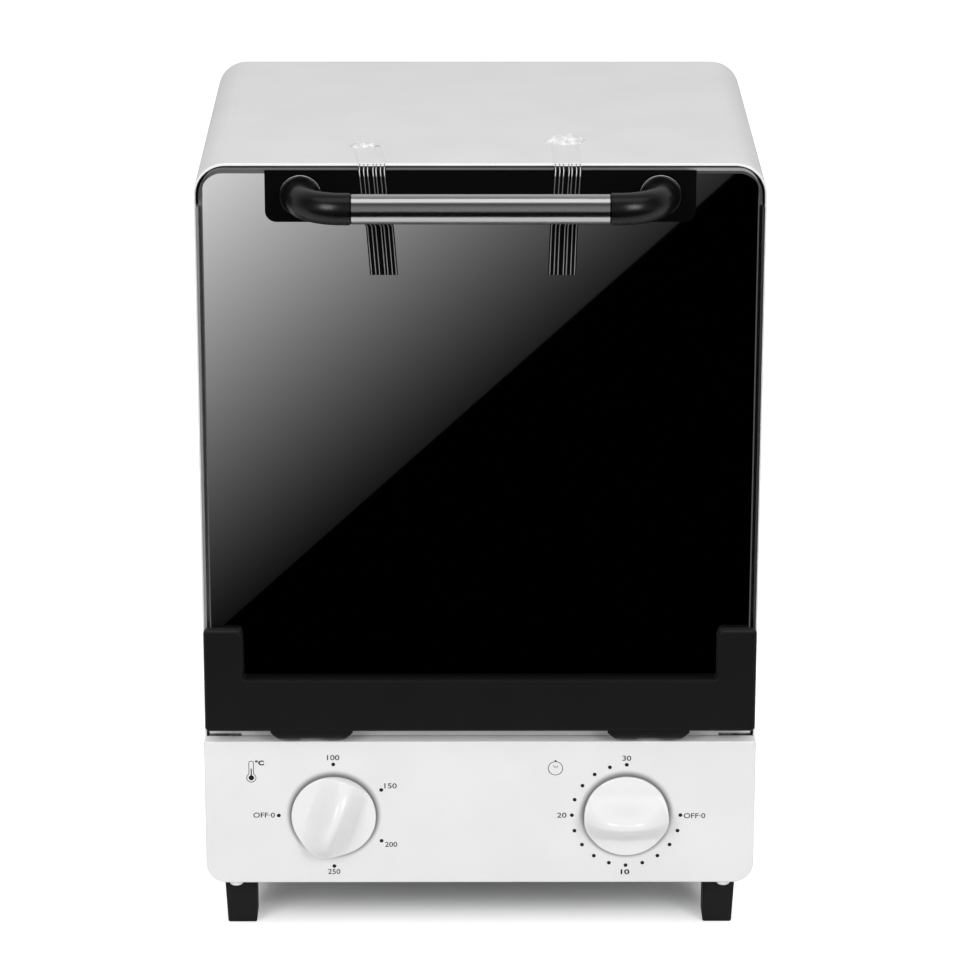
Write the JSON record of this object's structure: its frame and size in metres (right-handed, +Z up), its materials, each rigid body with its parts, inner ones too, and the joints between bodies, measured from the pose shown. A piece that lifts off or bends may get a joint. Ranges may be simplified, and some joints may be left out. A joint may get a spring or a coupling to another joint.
{
  "type": "dry heat sterilizer",
  "caption": "Bench-top dry heat sterilizer: white cabinet on four feet, drop-down dark glass door with a tube handle, heated chamber with rack and tray, two control knobs.",
  "frame": {"origin": "on the bench, at the middle of the footprint", "axes": "+X to the right as seen from the front, +Y to the rear (the door faces -Y), +Z up"},
  "size_m": [0.25, 0.246, 0.361],
  "materials": {
    "white_enamel": "smooth white powder coat",
    "zinc_steel": "zinc-plated sheet, slightly mottled",
    "stainless": "bright stainless",
    "brushed_tube": "brushed along the tube",
    "screw_steel": "plated",
    "black_glass": "dark mirror-coated toughened glass",
    "black_paint": "satin black powder coat",
    "black_plastic": "moulded, satin",
    "rubber": "moulded",
    "ceramic": "unglazed steatite",
    "copper": "drawn copper",
    "white_plastic": "glossy moulded plastic",
    "shaft_metal": "turned"
  },
  "bodies": {
    "cabinet": {"outer_cover": "white_enamel", "rear_panel": "white_enamel", "control_panel": "white_enamel", "base_plate": "zinc_steel", "front_frame": "zinc_steel", "chamber_wall_left": "zinc_steel", "chamber_wall_right": "zinc_steel", "chamber_floor": "zinc_steel", "chamber_ceiling": "zinc_steel", "chamber_back": "zinc_steel", "heat_shield": "zinc_steel", "lower_runner_left": "zinc_steel", "lower_runner_right": "zinc_steel", "upper_runner_left": "zinc_steel", "upper_runner_right": "zinc_steel", "hinge_bracket_left": "zinc_steel", "hinge_bracket_right": "zinc_steel", "bulb_clips": "zinc_steel", "timer_bell": "zinc_steel", "upper_heaters": "stainless", "lower_heaters": "stainless", "foot_screws": "screw_steel", "panel_screws": "screw_steel", "rear_screws": "screw_steel", "control_screws": "screw_steel", "hinge_screws": "screw_steel", "foot_front_left": "black_plastic", "foot_front_right": "black_plastic", "foot_rear_left": "black_plastic", "foot_rear_right": "black_plastic", "thermostat_body": "black_plastic", "timer_body": "black_plastic", "cord_bush": "rubber", "supply_lead": "rubber", "link_lead": "rubber", "heater_insulators": "ceramic", "terminal_block": "ceramic", "capillary_and_bulb": "copper"},
    "door": {"door_glass": "black_glass", "glass_gasket": "rubber", "door_inner_frame": "stainless", "door_bottom_cover": "black_paint", "handle_plate": "black_paint", "handle_elbow_left": "black_plastic", "handle_elbow_right": "black_plastic", "handle_tube": "brushed_tube", "handle_screws": "screw_steel", "hinge_pin_left": "stainless", "hinge_pin_right": "stainless", "door_stay_left": "stainless", "door_stay_right": "stainless"},
    "temperature_knob": {"temperature_knob": "white_plastic", "temperature_shaft": "shaft_metal"},
    "timer_knob": {"timer_knob": "white_plastic", "timer_shaft": "shaft_metal"},
    "wire_rack": {"wire_rack": "stainless"},
    "instrument_tray": {"instrument_tray": "stainless"}
  },
  "joints": [
    {"name": "door_hinge", "type": "hinge", "parent": "cabinet", "child": "door", "pos_m": [0, -0.09102, 0.1], "axis": [1, 0, 0], "range_deg": [0, 90]},
    {"name": "temperature_turn", "type": "hinge", "parent": "cabinet", "child": "temperature_knob", "pos_m": [-0.0665, -0.09252, 0.0583], "axis": [0, 1, 0], "range_deg": [-112, 158]},
    {"name": "timer_turn", "type": "hinge", "parent": "cabinet", "child": "timer_knob", "pos_m": [0.0665, -0.09252, 0.0583], "axis": [0, 1, 0], "range_deg": [0, 270]},
    {"name": "rack_slide", "type": "slide", "parent": "cabinet", "child": "wire_rack", "axis": [0, -1, 0], "range_m": [0, 0.15]},
    {"name": "tray_slide", "type": "slide", "parent": "cabinet", "child": "instrument_tray", "axis": [0, -1, 0], "range_m": [0, 0.09]}
  ],
  "couplings": [
    {"joint": "rack_slide", "follows": "door_hinge", "m_per_rad": 0.0954},
    {"joint": "tray_slide", "follows": "door_hinge", "m_per_rad": 0.0572}
  ]
}
